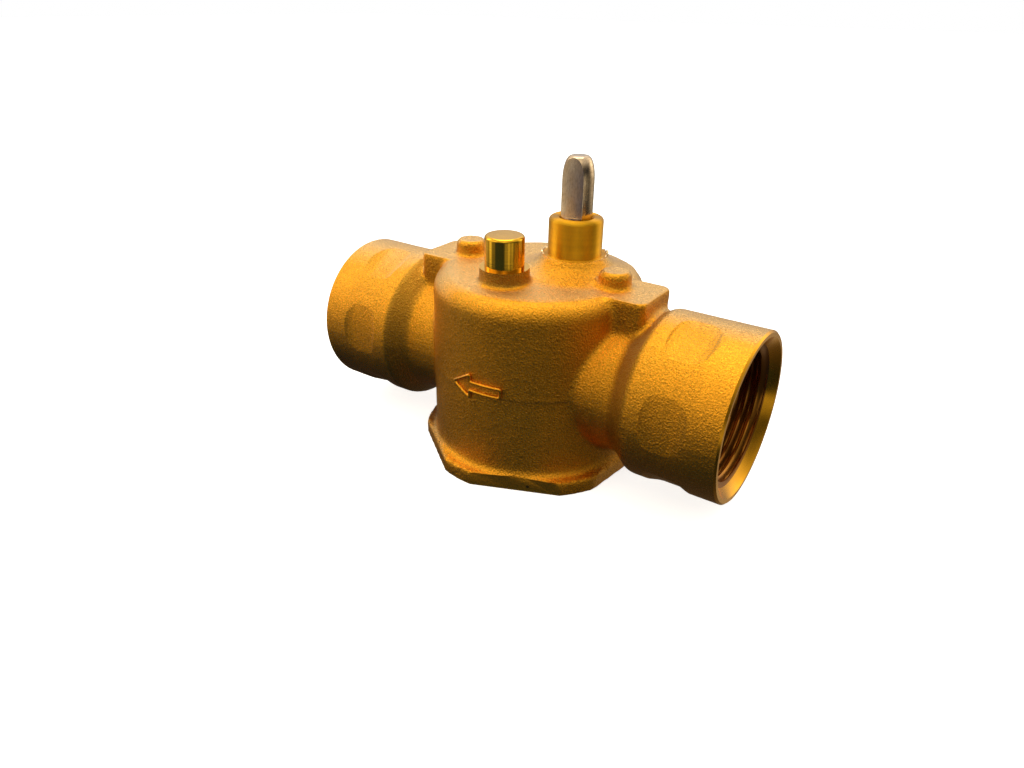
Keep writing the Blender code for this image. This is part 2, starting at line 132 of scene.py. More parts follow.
def mesh_object(name, shape, place=None, materials=()):
    """Turn a bmesh in millimetres into a named object in metres."""
    if place:
        shape.transform(place)
    bmesh.ops.recalc_face_normals(shape, faces=shape.faces)
    if shape.calc_volume(signed=True) < 0:
        bmesh.ops.reverse_faces(shape, faces=shape.faces)
    shape.transform(Matrix.Scale(MM, 4))
    mesh = bpy.data.meshes.new(name)
    shape.to_mesh(mesh)
    shape.free()
    for material in materials:
        mesh.materials.append(material)
    return linked(name, mesh)


def grid_solid(name, rings, place=None, materials=(), closed=False, slots=None):
    """Join rings of points into one surface. Open ends are closed with flat caps."""
    shape = bmesh.new()
    loops = [[shape.verts.new(point) for point in ring] for ring in rings]
    pairs = list(zip(loops, loops[1:]))
    if closed:
        pairs.append((loops[-1], loops[0]))
    for row, (first, second) in enumerate(pairs):
        for k in range(len(first)):
            following = (k + 1) % len(first)
            face = shape.faces.new((first[k], first[following], second[following], second[k]))
            face.material_index = slots[row] if slots else 0
    if not closed:
        for row, loop in ((0, loops[0]), (-1, loops[-1])):
            cap = shape.faces.new(loop)
            cap.material_index = slots[row] if slots else 0
    return mesh_object(name, shape, place, materials)


def circle(radius, height, sides):
    """Points round Z, with a flat side rather than a corner on +X."""
    step = 2 * math.pi / sides
    return [(radius * math.cos(step * (k + 0.5)), radius * math.sin(step * (k + 0.5)), height)
            for k in range(sides)]


def circles(outline, sides):
    return [circle(max(radius, SMALLEST_CAP), height, sides) for radius, height in outline]


def turned(name, outline, sides=96, place=None, materials=(), closed=False, slots=None):
    """Spin (radius, height) points about Z. Ends on the axis become small flat caps."""
    return grid_solid(name, circles(outline, sides), place, materials, closed, slots)


def prism(name, outline, bottom, top, place=None, materials=()):
    rings = [[(x, y, z) for x, y in outline] for z in (bottom, top)]
    return grid_solid(name, rings, place, materials)


def arc(centre, radius, start, end, steps):
    """Points (radius, height) along a round of a turned outline, angles in degrees."""
    points = []
    for step in range(steps + 1):
        angle = math.radians(start + (end - start) * step / steps)
        points.append((centre[0] + radius * math.cos(angle), centre[1] + radius * math.sin(angle)))
    return points


def linked(name, data):
    item = bpy.data.objects.new(name, data)
    bpy.context.scene.collection.objects.link(item)
    return item


def apply_modifiers(item):
    graph = bpy.context.evaluated_depsgraph_get()
    result = bpy.data.meshes.new_from_object(item.evaluated_get(graph))
    item.modifiers.clear()
    item.data = result


def combine(base, tools, operation):
    """One Boolean for each tool. A tool's faces bring their own material with them."""
    for tool in tools:
        modifier = base.modifiers.new(operation, "BOOLEAN")
        modifier.operation = operation
        modifier.object = tool
        modifier.solver = "MANIFOLD"
        modifier.material_mode = "TRANSFER"
        apply_modifiers(base)
        bpy.data.objects.remove(tool)
    return base


def joined(name, items):
    """Put several meshes in one object without merging them."""
    shape = bmesh.new()
    for item in items:
        shape.from_mesh(item.data)
        bpy.data.objects.remove(item)
    mesh = bpy.data.meshes.new(name)
    shape.to_mesh(mesh)
    shape.free()
    return linked(name, mesh)


def one_material(item, material):
    item.data.materials.clear()
    item.data.materials.append(material)
    return item


# ---------------------------------------------------------------- materials

class Nodes:
    """Short ways to lay out a material's nodes."""

    def __init__(self, name):
        self.material = bpy.data.materials.new(name)
        self.material.use_nodes = True
        self.tree = self.material.node_tree
        self.shader = self.tree.nodes["Principled BSDF"]
        coordinates = self.tree.nodes.new("ShaderNodeTexCoord")
        self.place = coordinates.outputs["Object"]
        self.outward = coordinates.outputs["Normal"]

    def link(self, source, target):
        self.tree.links.new(source, target)

    def add(self, kind, **inputs):
        node = self.tree.nodes.new(kind)
        for name, value in inputs.items():
            socket = node.inputs[name.replace("_", " ")]
            if isinstance(value, bpy.types.NodeSocket):
                self.link(value, socket)
            else:
                socket.default_value = value
        return node

    def noise(self, scale, detail=3.0, roughness=0.55, vector=None):
        node = self.add("ShaderNodeTexNoise", Scale=scale, Detail=detail, Roughness=roughness)
        self.link(vector or self.place, node.inputs["Vector"])
        return node.outputs["Fac"]

    def cells(self, scale):
        return self.add("ShaderNodeTexVoronoi", Scale=scale, Vector=self.place).outputs["Distance"]

    def remap(self, value, low, high, to_low=0.0, to_high=1.0):
        node = self.add("ShaderNodeMapRange", Value=value)
        for name, number in (("From Min", low), ("From Max", high), ("To Min", to_low),
                             ("To Max", to_high)):
            node.inputs[name].default_value = number
        return node.outputs["Result"]

    def maths(self, operation, first, second=0.0):
        node = self.tree.nodes.new("ShaderNodeMath")
        node.operation = operation
        for socket, value in zip(node.inputs, (first, second)):
            if isinstance(value, bpy.types.NodeSocket):
                self.link(value, socket)
            else:
                socket.default_value = value
        return node.outputs[0]

    def times(self, first, *others):
        product = first
        for value in others:
            product = self.maths("MULTIPLY", product, value)
        return product

    def axes(self, vector):
        return self.add("ShaderNodeSeparateXYZ", Vector=vector).outputs

    def offsets(self, place, axes, centre):
        """How far the surface is from a line across two axes; centre is in millimetres."""
        return [self.maths("SUBTRACT", place[axis], middle * MM)
                for axis, middle in zip(axes, centre)]

    def length(self, offsets):
        squares = [self.maths("MULTIPLY", value, value) for value in offsets]
        return self.maths("SQRT", self.maths("ADD", *squares))

    def blend(self, factor, first, second):
        """Mix two colours, each a tuple or a socket."""
        node = self.tree.nodes.new("ShaderNodeMix")
        node.data_type = "RGBA"
        self.link(factor, node.inputs[0])
        for socket, value in ((node.inputs[6], first), (node.inputs[7], second)):
            if isinstance(value, bpy.types.NodeSocket):
                self.link(value, socket)
            else:
                socket.default_value = (*value, 1.0)
        return node.outputs[2]

    def stretched(self, x, y, z):
        node = self.add("ShaderNodeMapping", Vector=self.place)
        node.inputs["Scale"].default_value = (x, y, z)
        return node.outputs["Vector"]

    def bump(self, height, distance, strength, normal=None):
        node = self.add("ShaderNodeBump", Height=height, Distance=distance, Strength=strength)
        if normal:
            self.link(normal, node.inputs["Normal"])
        return node.outputs["Normal"]

    def finish(self, colour, roughness, normal=None, metallic=1.0, **constants):
        self.link(colour, self.shader.inputs["Base Color"])
        self.link(roughness, self.shader.inputs["Roughness"])
        if normal:
            self.link(normal, self.shader.inputs["Normal"])
        self.shader.inputs["Metallic"].default_value = metallic
        for name, value in constants.items():
            self.shader.inputs[name.replace("_", " ")].default_value = value
        return self.material


def seam_mask(n, place, reach):
    """The parting line's dark trace across one side of the drum, at pipe height."""
    from_seam = n.maths("ABSOLUTE", n.maths("SUBTRACT", place["Z"], PIPE_HEIGHT * MM))
    return n.times(n.remap(from_seam, 0.4 * MM, 0.1 * MM, 0.0, 0.8),
                   n.remap(reach, 17.5 * MM, 16.0 * MM), n.remap(place["X"], 4.0 * MM, 6.0 * MM))


def painted_sheen_mask(n, lie):
    """Painted sheen: the skin's colour is paled where it faces up and is seen at a slant, standing
    in for the bright sky's reflection.
    """
    facing = n.tree.nodes.new("ShaderNodeLayerWeight").outputs["Facing"]
    return n.times(n.remap(facing, 0.38, 0.66, 0.0, 0.75), n.remap(lie["Z"], 0.15, 0.60))


def inward_shade_mask(n, place, lie, reach):
    """Painted shade on the faces of the ports that look back at the drum."""
    outward = n.maths("MULTIPLY", n.maths("SIGN", place["X"]), lie["X"])
    return n.times(n.remap(outward, -0.06, -0.28, 0.0, 0.62),
                   n.remap(reach, 22.0 * MM, 24.5 * MM))


def boss_wall_shade_mask(n, place, lie):
    """Painted shade on the upright wall of the post's boss."""
    from_post = n.length(n.offsets(place, ("X", "Y"), (POST_X, POST_Y)))
    return n.times(n.remap(from_post, 5.2 * MM, 4.9 * MM, 0.0, 0.6),
                   n.remap(lie["Z"], 0.75, 0.35), n.remap(place["Z"], 37.4 * MM, 38.0 * MM))


def cast_brass(name="cast_brass_blasted", grain_depth=1.0, roughness=(0.36, 0.24)):
    """Shot-blasted casting: dimpled grain, pits, uneven tone and stains; painted sheen on upward
    faces and painted shade on inward port faces and the post boss's wall.
    """
    n = Nodes(name)
    place, lie = n.axes(n.place), n.axes(n.outward)
    reach = n.maths("ABSOLUTE", place["X"])
    depth = n.remap(reach, 38.5 * MM, 40.0 * MM, grain_depth, 0.85 * grain_depth)
    grain, dimples = n.noise(3300.0, 4.0, 0.72), n.cells(2900.0)
    patches, stains = n.noise(150.0, 3.0, 0.6), n.noise(60.0, 4.0, 0.65)
    tone = n.blend(n.remap(patches, 0.35, 0.7), (0.95, 0.385, 0.021), (0.86, 0.36, 0.020))
    tone = n.blend(n.remap(stains, 0.55, 0.8, 0.0, 0.35), tone, (0.46, 0.28, 0.03))
    # painted sheen: paler where the skin faces up and is seen at a slant
    tone = n.blend(painted_sheen_mask(n, lie), tone, (0.90, 0.61, 0.25))
    # painted shade on the port faces that look back at the drum
    tone = n.blend(inward_shade_mask(n, place, lie, reach), tone, (0.20, 0.13, 0.02))
    # painted shade on the upright wall of the post's boss
    tone = n.blend(boss_wall_shade_mask(n, place, lie), tone, (0.22, 0.15, 0.03))
    pits = n.times(n.remap(grain, 0.34, 0.56, 0.80, 0.0), depth)
    tone = n.blend(pits, tone, (0.33, 0.155, 0.015))
    tone = n.blend(n.times(seam_mask(n, place, reach), patches), tone, (0.10, 0.06, 0.02))
    normal = n.bump(grain, 0.00014, depth)
    normal = n.bump(dimples, 0.00008, depth, normal)
    return n.finish(tone, n.remap(grain, 0.35, 0.65, *roughness), normal)


def turned_brass(name, colour=(0.93, 0.43, 0.02), roughness=0.24, centre=(0.0, 0.0), lying=False,
                 spread=0.6):
    """Lathe-turned brass: fine rings round its axis, which spread reflections across them.

    centre is the axis's place in the plane across it, in millimetres; lying means along X.
    spread is how much further reflections are drawn out along the axis than round it.
    """
    n = Nodes(name)
    place = n.axes(n.place)
    along, first, second = (("X", "Y", "Z") if lying else ("Z", "X", "Y"))
    across = n.offsets(place, (first, second), centre)
    rings = n.add("ShaderNodeCombineXYZ", X=n.maths("MULTIPLY", n.length(across), 6000.0),
                  Y=n.maths("MULTIPLY", place[along], 6000.0)).outputs[0]
    fine, coarse = n.noise(1.0, 1.0, 0.5, rings), n.noise(0.16, 2.0, 0.5, rings)
    smear = n.noise(260.0, 3.0, 0.6)
    worn = tuple(0.86 * value for value in colour)
    tone = n.blend(n.remap(smear, 0.35, 0.75), colour, worn)
    tone = n.blend(n.remap(coarse, 0.35, 0.65, 0.0, 0.25), tone, (0.62, 0.28, 0.015))
    rough = n.remap(smear, 0.3, 0.7, roughness, roughness + 0.06)
    normal = n.bump(fine, 0.000012, 0.6)
    normal = n.bump(coarse, 0.00002, 0.5, normal)
    groove = n.add("ShaderNodeCombineXYZ", **{first: n.maths("MULTIPLY", across[1], -1.0),
                                              second: across[0]})
    n.link(groove.outputs[0], n.shader.inputs["Tangent"])
    return n.finish(tone, rough, normal, Anisotropic=spread, Anisotropic_Rotation=0.25)


def stem_metal(name="stem_drawn_bar", roughness=0.14):
    """Plated bar with a thin brown tarnish and fine scratches round it."""
    n = Nodes(name)
    scratches = n.noise(1.0, 3.0, 0.6, n.stretched(500.0, 500.0, 5000.0))
    marks = n.noise(1.0, 2.0, 0.6, n.stretched(5200.0, 700.0, 1400.0))
    cloud = n.noise(420.0, 3.0, 0.6)
    tone = n.blend(n.remap(cloud, 0.35, 0.7), (0.74, 0.56, 0.38), (0.58, 0.41, 0.25))
    tone = n.blend(n.remap(marks, 0.45, 0.75, 0.0, 0.5), tone, (0.30, 0.20, 0.12))
    rough = n.remap(cloud, 0.3, 0.7, roughness, roughness + 0.12)
    normal = n.bump(scratches, 0.00001, 0.6)
    normal = n.bump(marks, 0.000012, 0.5, normal)
    return n.finish(tone, rough, normal)


def stainless():
    n = Nodes("stainless_pin")
    lines = n.noise(1.0, 2.0, 0.6, n.stretched(400.0, 400.0, 3000.0))
    tone = n.blend(lines, (0.62, 0.60, 0.57), (0.48, 0.47, 0.45))
    return n.finish(tone, n.remap(lines, 0.3, 0.7, 0.22, 0.34), n.bump(lines, 0.000006, 0.5))


def seal_rubber():
    n = Nodes("seal_rubber_moulded")
    dust = n.noise(900.0, 3.0, 0.6)
    tone = n.blend(n.remap(dust, 0.45, 0.75), (0.014, 0.014, 0.015), (0.045, 0.044, 0.042))
    return n.finish(tone, n.remap(dust, 0.3, 0.7, 0.48, 0.66), n.bump(dust, 0.00003, 0.6),
                    metallic=0.0)


def bearing_plastic():
    n = Nodes("bearing_plastic_turned")
    lines = n.noise(1.0, 2.0, 0.5, n.stretched(60.0, 60.0, 2200.0))
    tone = n.blend(lines, (0.80, 0.78, 0.72), (0.68, 0.66, 0.60))
    return n.finish(tone, n.remap(lines, 0.3, 0.7, 0.38, 0.52), n.bump(lines, 0.00001, 0.5),
                    metallic=0.0)


# ---------------------------------------------------------------- the casting

def drum():
    """Round chamber with its top fillet, and the flare that spreads to the foot."""
    flare = [(FOOT_CORNER, FOOT_THICKNESS)]
    for step in range(9):
        angle = math.radians(90) * step / 8
        flare.append((FLARE_REACH - (FLARE_REACH - DRUM_RADIUS) * math.sin(angle),
                      FOOT_THICKNESS + FLARE_HEIGHT * (1 - math.cos(angle))))
    edge = arc((DRUM_TOP_RADIUS - DRUM_FILLET, DRUM_TOP - DRUM_FILLET), DRUM_FILLET, 0, 90, 12)
    outline = [(0, -FOOT_SKIN), (FOOT_CORNER, -FOOT_SKIN)] + flare + edge + [(0, DRUM_TOP)]
    return turned("drum", outline, 192)


def foot_trim(depth, sides, material=None):
    """Blocks that trim the foot to its hexagon, on the given sides only."""
    blocks = []
    near = FOOT_APOTHEM - depth
    far, half = FOOT_BLOCK
    outline = [(near, -half), (far, -half), (far, half), (near, half)]
    for side in sides:
        turn = Matrix.Rotation(math.pi / 3 * side + FOOT_TURN, 4, "Z")
        blocks.append(prism("foot_trim", outline, -2, 4.6, turn, (material,) if material else ()))
    return blocks


def pipe_run():
    """Both necks, cone shoulders and ports, spun as one bar through the drum."""
    end = HALF_LENGTH + PORT_SKIN
    side = [(NECK_RADIUS, NECK_END), (RIM_RADIUS, SHOULDER_END), (RIM_RADIUS, end)]
    outline = [(0, -end)] + [(radius, -length) for radius, length in reversed(side)]
    outline += side + [(0, end)]
    return turned("pipe_run", outline, 144, on_pipe())


def spanner_flats(material):
    """Cutters for the six flats on each port, with a curved run-out at both ends."""
    cutters = []
    inner, outer = FLATS
    floor = [(outer + x, FLAT_APOTHEM + height) for x, height in FLAT_OUTER_RISE]
    floor += [(inner + x, FLAT_APOTHEM + height) for x, height in FLAT_INNER_RISE]
    profile = [(floor[-1][0], RIM_RADIUS + 2), (floor[0][0], RIM_RADIUS + 2)] + floor
    for direction in (-1, 1):
        outline = [(direction * x, -y) for x, y in profile]
        for side_number in range(6):
            angle = math.pi / 3 * side_number - FLATS_TURN
            turn = place_at(0, 0, PIPE_HEIGHT) @ Matrix.Rotation(angle, 4, "X")
            cutters.append(prism("flat_cutter", outline, -12, 12, turn, (material,)))
    return cutters


def lug(direction):
    """Block with clipped corners that stands out from the drum over one neck."""
    side = [(LUG_ROOT, LUG_HALF_WIDTH), (LUG_LENGTH - LUG_CORNER, LUG_HALF_WIDTH),
            (LUG_LENGTH, LUG_HALF_WIDTH - LUG_CORNER)]
    outline = [(direction * x, -y) for x, y in side] + [(direction * x, y) for x, y in side[::-1]]
    return prism("lug", outline, LUG_BOTTOM, LUG_TOP)


def boss(x, y, radius, edge=0.5, top=REST_HEIGHT):
    """Low round boss with a little draft and a clipped top edge."""
    outline = [(0, DRUM_TOP - 1), (radius + 0.25, DRUM_TOP - 1), (radius, top - edge),
               (radius - edge, top), (0, top)]
    return turned("boss", outline, 64, place_at(x, y))


def tower_flare():
    outline = [(0, TOWER_FLARE[0][1]), *TOWER_FLARE, (0, TOWER_FLARE[-1][1])]
    return turned("tower_flare", outline, 96, place_at(STEM_X, STEM_Y))


def read_points(mesh):
    points = np.empty(len(mesh.vertices) * 3)
    mesh.vertices.foreach_get("co", points)
    return points.reshape(-1, 3)


def write_points(mesh, points):
    mesh.vertices.foreach_set("co", points.ravel())
    mesh.update()


def neighbours_average(points, edges):
    """Mean of each vertex's neighbours."""
    count = len(points)
    ends = np.concatenate([edges, edges[:, ::-1]])
    number = np.bincount(ends[:, 0], minlength=count)
    sums = [np.bincount(ends[:, 0], weights=points[ends[:, 1], axis], minlength=count)
            for axis in range(3)]
    return np.stack(sums, axis=1) / np.maximum(number, 1)[:, None]


def vertex_normals(mesh):
    normals = np.empty(len(mesh.vertices) * 3, dtype=np.float32)
    mesh.vertex_normals.foreach_get("vector", normals)
    return normals.reshape(-1, 3).astype(float)


def soften(item, even_rounds, plain_rounds, fill_rounds):
    """Even out the grid, round every edge a little, then fill inner corners as a mould does."""
    mesh = item.data
    points = read_points(mesh)
    edges = np.empty(len(mesh.edges) * 2, dtype=np.int64)
    mesh.edges.foreach_get("vertices", edges)
    edges = edges.reshape(-1, 2)
    for _ in range(even_rounds):
        for strength in (0.5, -0.53):
            points += strength * (neighbours_average(points, edges) - points)
    for _ in range(plain_rounds):
        points += 0.5 * (neighbours_average(points, edges) - points)
    for _ in range(fill_rounds):
        write_points(mesh, points)
        pull = neighbours_average(points, edges) - points
        hollow = np.sum(pull * vertex_normals(mesh), axis=1)
        hollow = neighbours_average(hollow[:, None].repeat(3, axis=1), edges)[:, :1]
        points += 0.5 * pull * np.clip(hollow / (HOLLOW * MM), 0.0, 1.0)
    write_points(mesh, points)


# Relief of the cast skin in metres: how high and how wide each kind is.
WAVE_LIFT, WAVE_SIZE = 0.00003, 0.0055
GRAIN_LIFT, GRAIN_SIZE = 0.000012, 0.0009
RIDGE_LIFT, RIDGE_WIDTH = 0.00005, 0.00035


def smooth_noise(points, size, seed):
    """Value noise on a grid of the given size in metres, from -1 to 1."""
    cells = points / size + seed * 17.31
    base = np.floor(cells).astype(np.int64)
    part = cells - base
    part = part * part * (3 - 2 * part)
    total = np.zeros(len(points))
    for corner in range(8):
        offset = np.array([corner & 1, corner >> 1 & 1, corner >> 2 & 1])
        key = (base + offset).astype(np.int64)
        mixed = key[:, 0] * 73856093 ^ key[:, 1] * 19349663 ^ key[:, 2] * 83492791 ^ seed * 7919
        mixed = (mixed ^ (mixed >> 13)) * 1274126177 & 0x7FFFFFFF
        value = (mixed ^ (mixed >> 16)) % 20011 / 10005.5 - 1.0
        weight = np.prod(np.where(offset == 1, part, 1 - part), axis=1)
        total += value * weight
    return total


def roughen(item):
    """Cast skin: slow waviness, blast grain and the mould's parting line at pipe height."""
    mesh = item.data
    points = read_points(mesh)
    height = points[:, 2] - PIPE_HEIGHT * MM
    lift = WAVE_LIFT * smooth_noise(points, WAVE_SIZE, 3)
    lift += GRAIN_LIFT * smooth_noise(points, GRAIN_SIZE, 7)
    lift += RIDGE_LIFT * np.exp(-(height / RIDGE_WIDTH) ** 2)
    points += vertex_normals(mesh) * lift[:, None]
    write_points(mesh, points)


def reskin(item, size):
    """Replace overlapping solids by one even skin around them."""
    remesh = item.modifiers.new("skin", "REMESH")
    remesh.mode = "VOXEL"
    remesh.voxel_size = size * MM
    remesh.adaptivity = 0.0
    apply_modifiers(item)
    return item


def cast_blank(material):
    """The casting before machining: large shapes with full fillets, then the crisper bosses."""
    base = combine(drum(), foot_trim(0.0, range(6)), "DIFFERENCE")
    large = reskin(joined("large", [base, pipe_run(), lug(-1), lug(1), tower_flare()]), VOXEL)
    soften(large, 5, 1, 0)
    bosses = [boss(-BOSS_OFFSET, 0, BOSS_RADIUS), boss(BOSS_OFFSET, 0, BOSS_RADIUS),
              boss(POST_X, POST_Y, POST_BOSS_RADIUS, 0.1, REST_HEIGHT + 0.7)]
    blank = reskin(joined("valve_body_casting", [large] + bosses), VOXEL)
    soften(blank, 6, 0, 1)
    roughen(blank)
    return one_material(blank, material)


# The flow arrow on the drum: an outline of (degrees round the drum, height above the pipe axis).
ARROW = ((-105.0, 0.9), (-93.6, 3.4), (-93.6, 2.0), (-75.5, 2.0), (-75.5, 0.2), (-93.6, 0.2),
         (-93.6, -1.3))
ARROW_WIDTH, ARROW_LIFT, ARROW_OVERLAP = 0.66, 0.32, 0.06


def arrow_bar(start, end):
    """A low rounded bar between two points of the arrow, following the drum's curve."""
    steps = max(2, int(abs(end[0] - start[0]) / 2.5) + 2)
    run = Vector((math.radians(end[0] - start[0]) * DRUM_RADIUS, end[1] - start[1])).normalized()
    section = [(-1.0, -0.5), (-0.9, 0.3), (-0.6, 0.75), (-0.2, 1.0), (0.2, 1.0), (0.6, 0.75),
               (0.9, 0.3), (1.0, -0.5)]
    rings = []
    for step in range(steps + 1):
        part = step / steps
        ring = []
        for across, lift in section:
            shift = across * ARROW_WIDTH / 2
            reach = run * ARROW_OVERLAP * ((step == steps) - (step == 0))
            angle = math.radians(start[0] + (end[0] - start[0]) * part)
            angle += (reach.x - run.y * shift) / DRUM_RADIUS
            height = start[1] + (end[1] - start[1]) * part + reach.y + run.x * shift
            radius = DRUM_RADIUS + lift * ARROW_LIFT
            ring.append((radius * math.cos(angle), radius * math.sin(angle), PIPE_HEIGHT + height))
        rings.append(ring)
    return grid_solid("arrow_bar", rings)


def flow_arrow(material):
    bars = [arrow_bar(start, end) for start, end in zip(ARROW, ARROW[1:] + ARROW[:1])]
    arrow = reskin(joined("flow_arrow", bars), ARROW_VOXEL)
    soften(arrow, 2, 2, 0)
    return one_material(arrow, material)


def punch_mark(material):
    """Small round punch in the front flat of the foot."""
    turn = Matrix.Rotation(math.pi / 3 * MILLED_SIDES[1] + FOOT_TURN, 4, "Z")
    outline = [(0, -0.35), (0.32, -0.35), (0.62, 0.3), (0, 0.3)]
    place = turn @ place_at(FOOT_APOTHEM, 2.6, 1.15) @ laid_down()
    return turned("punch_mark", outline, 20, place, (material,))


# ---------------------------------------------------------------- machining

def thread_depth(phase):
    """Rounded pipe thread form: 1 at the root, 0 at the crest."""
    return 0.5 - 0.5 * math.cos(2 * math.pi * phase)


def thread_rings(direction):
    """Helical thread that fades out where the tap stopped. The two ports mirror each other."""
    rings = []
    depth = HALF_LENGTH - MOUTH_DEPTH
    while depth > THREAD_START + 0.4:
        depth -= THREAD_PITCH / 10
        runout = min(1.0, (depth - THREAD_START) / THREAD_RUNOUT)
        ring = []
        for k in range(PORT_SIDES):
            angle = 2 * math.pi * (k + 0.5) / PORT_SIDES
            cut = thread_depth(depth / THREAD_PITCH - direction * angle / (2 * math.pi)) * runout
            radius = THREAD_MINOR + (THREAD_MAJOR - THREAD_MINOR) * cut
            ring.append((radius * math.cos(angle), radius * math.sin(angle), depth))
        rings.append(ring)
    return rings


def port_tool(direction, face, thread):
    """Faces one port, chamfers its mouth, cuts its pipe thread and drills into the chamber."""
    beyond = RIM_RADIUS + 4
    outline = [(0, HALF_LENGTH + 3), (beyond, HALF_LENGTH + 3), (beyond, HALF_LENGTH - 1.0),
               (RIM_RADIUS + 0.3, HALF_LENGTH - RIM_CHAMFER - 0.3),
               (RIM_RADIUS - RIM_CHAMFER, HALF_LENGTH), (MOUTH_RADIUS, HALF_LENGTH),
               (THREAD_MAJOR + 0.05, HALF_LENGTH - MOUTH_DEPTH)]
    threads = thread_rings(direction)
    drill = [(THREAD_MINOR, THREAD_START), (NECK_BORE + 0.4, THREAD_START),
             (NECK_BORE, THREAD_START - 0.4), (NECK_BORE, NECK_DRILL_END), (0, NECK_DRILL_END)]
    rings = circles(outline, PORT_SIDES) + threads + circles(drill, PORT_SIDES)
    slots = [0] * (len(outline) - 1) + [1] * (len(threads) + len(drill)) + [0]
    return grid_solid("port_tool", rings, on_pipe(direction), (face, thread), slots=slots)


def base_tool(face, inner):
    """Faces the foot and bores the cap's seat and the chamber from below."""
    wide, below, edge = 30, -3, 0.4
    outline = [(0, below), (wide, below), (wide, 0), (CAP_BORE + edge, 0), (CAP_BORE, edge),
               (CAP_BORE, CAP_BORE_TOP), (CHAMBER_RADIUS, CAP_BORE_TOP),
               (CHAMBER_RADIUS, CHAMBER_CEILING), (0, CHAMBER_CEILING)]
    return turned("base_tool", outline, 128, None, (face, inner),
                  slots=[0, 0, 0, 0, 1, 1, 1, 1, 1])


def facing_tool(x, y, inner, outer, height, material):
    """Hollow end mill that leaves a flat ring round a post or tower."""
    outline = [(inner, height), (outer, height), (outer, height + 4), (inner, height + 4)]
    return turned("facing_tool", outline, 96, place_at(x, y), (material,), closed=True)


def burr(azimuth, rise, seed, material):
    """Ragged lip, left on one side where the cutter ran out through the cast skin."""
    steps = 44
    random = np.random.default_rng(seed)
    chips = random.uniform(0.35, 1.0, steps) * random.uniform(0.3, 1.0, steps // 4).repeat(4)
    section = ((-0.12, -0.6), (0.20, -0.6), (0.30, -0.15), (0.38, 1.0), (0.18, 1.0), (-0.05, -0.15))
    rings = []
    for step in range(steps):
        part = 2 * (step + 0.5) / steps - 1
        angle = math.radians(azimuth + BURR_SPREAD * part)
        strength = chips[step] * math.cos(math.pi / 2 * part)
        ring = []
        for out, level in section:
            reach = BURR_RADIUS + out * (0.6 + 0.9 * strength)
            lift = rise * strength * level if level > 0 else level
            ring.append((reach * math.cos(angle), reach * math.sin(angle), SHOULDER_HEIGHT + lift))
        rings.append(ring)
    return grid_solid("burr", rings, place_at(STEM_X, STEM_Y), (material,))


def barrel(x, y, radius, bottom, top, chamfer, material):
    """Turned tower or post with a rounded top edge."""
    outline = [(0, bottom), (radius, bottom), (radius, top - chamfer)]
    outline += arc((radius - chamfer, top - chamfer), chamfer, 8, 82, 6)
    outline += [(radius - chamfer - 0.1, top), (0, top)]
    return turned("barrel", outline, 128, place_at(x, y), (material,))


def stem_bore(material):
    """Bore for the bushes and seals, with a smaller hole through the tower's lip."""
    outline = [(0, CHAMBER_CEILING - 1), (TOWER_BORE, CHAMBER_CEILING - 1),
               (TOWER_BORE, TOWER_LIP), (STEM_HOLE, TOWER_LIP), (STEM_HOLE, TOWER_TOP - 0.25),
               (STEM_HOLE + 0.5, TOWER_TOP + 0.25), (0, TOWER_TOP + 0.25)]
    return turned("stem_bore", outline, 64, place_at(STEM_X, STEM_Y), (material,))


def add_tower_and_post(body, mats):
    """Face a ring round each, then add the turned barrels and the burr beside the tower."""
    facing = [facing_tool(STEM_X, STEM_Y, TOWER_RADIUS - 0.4, SHOULDER_RING, SHOULDER_HEIGHT,
                          mats["tower"]),
              facing_tool(POST_X, POST_Y, POST_RADIUS - 0.4, POST_BOSS_RADIUS + 1,
                          REST_HEIGHT - 0.12, mats["post"])]
    combine(body, facing, "DIFFERENCE")
    parts = [barrel(STEM_X, STEM_Y, TOWER_RADIUS, REST_HEIGHT - 1.2, TOWER_TOP, TOWER_CHAMFER,
                    mats["tower"]),
             barrel(POST_X, POST_Y, POST_RADIUS, REST_HEIGHT - 1.0, POST_TOP, POST_CHAMFER,
                    mats["post"])]
    parts += [burr(azimuth, rise, seed, mats["burr"]) for azimuth, rise, seed in BURRS]
    combine(body, parts, "UNION")


def bore_out(body, mats):
    """The chamber, the stem's bore, both ports and the blind holes for the stop pins."""
    # the chamber, threads and stop holes take the dark bore material, a painted shade
    cuts = [base_tool(mats["turned"], mats["bore"]), stem_bore(mats["tower"])]
    cuts += [port_tool(direction, mats["rim"], mats["bore"]) for direction in (-1, 1)]
    low, high = STOP_HOLE_SPAN
    hole = [(0, low), (STOP_HOLE_RADIUS, low), (STOP_HOLE_RADIUS, high), (0, high)]
    cuts += [turned("stop_hole", hole, 24, place_at(x, y), (mats["bore"],)) for x, y in STOP_HOLES]
    combine(body, cuts, "DIFFERENCE")


def shade(item, sharpest):
    """Smooth shading, except over edges sharper than the given angle in degrees."""
    item.data.shade_smooth()
    item.data.set_sharp_from_angle(angle=math.radians(sharpest))


def valve_body(mats):
    """Cast, then machined in the order a shop would: arrow and flats, foot, tower, bores."""
    body = cast_blank(mats["cast"])
    combine(body, [flow_arrow(mats["ridge"])], "UNION")
    combine(body, spanner_flats(mats["cast"]), "DIFFERENCE")
    combine(body, foot_trim(MILLED_DEPTH, MILLED_SIDES, mats["milled"]), "DIFFERENCE")
    # the punch takes the dark bore material, a painted shade in its hollow
    combine(body, [punch_mark(mats["bore"])], "DIFFERENCE")
    add_tower_and_post(body, mats)
    bore_out(body, mats)
    shade(body, 38)
    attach(body, "body")
    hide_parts("valve_body")


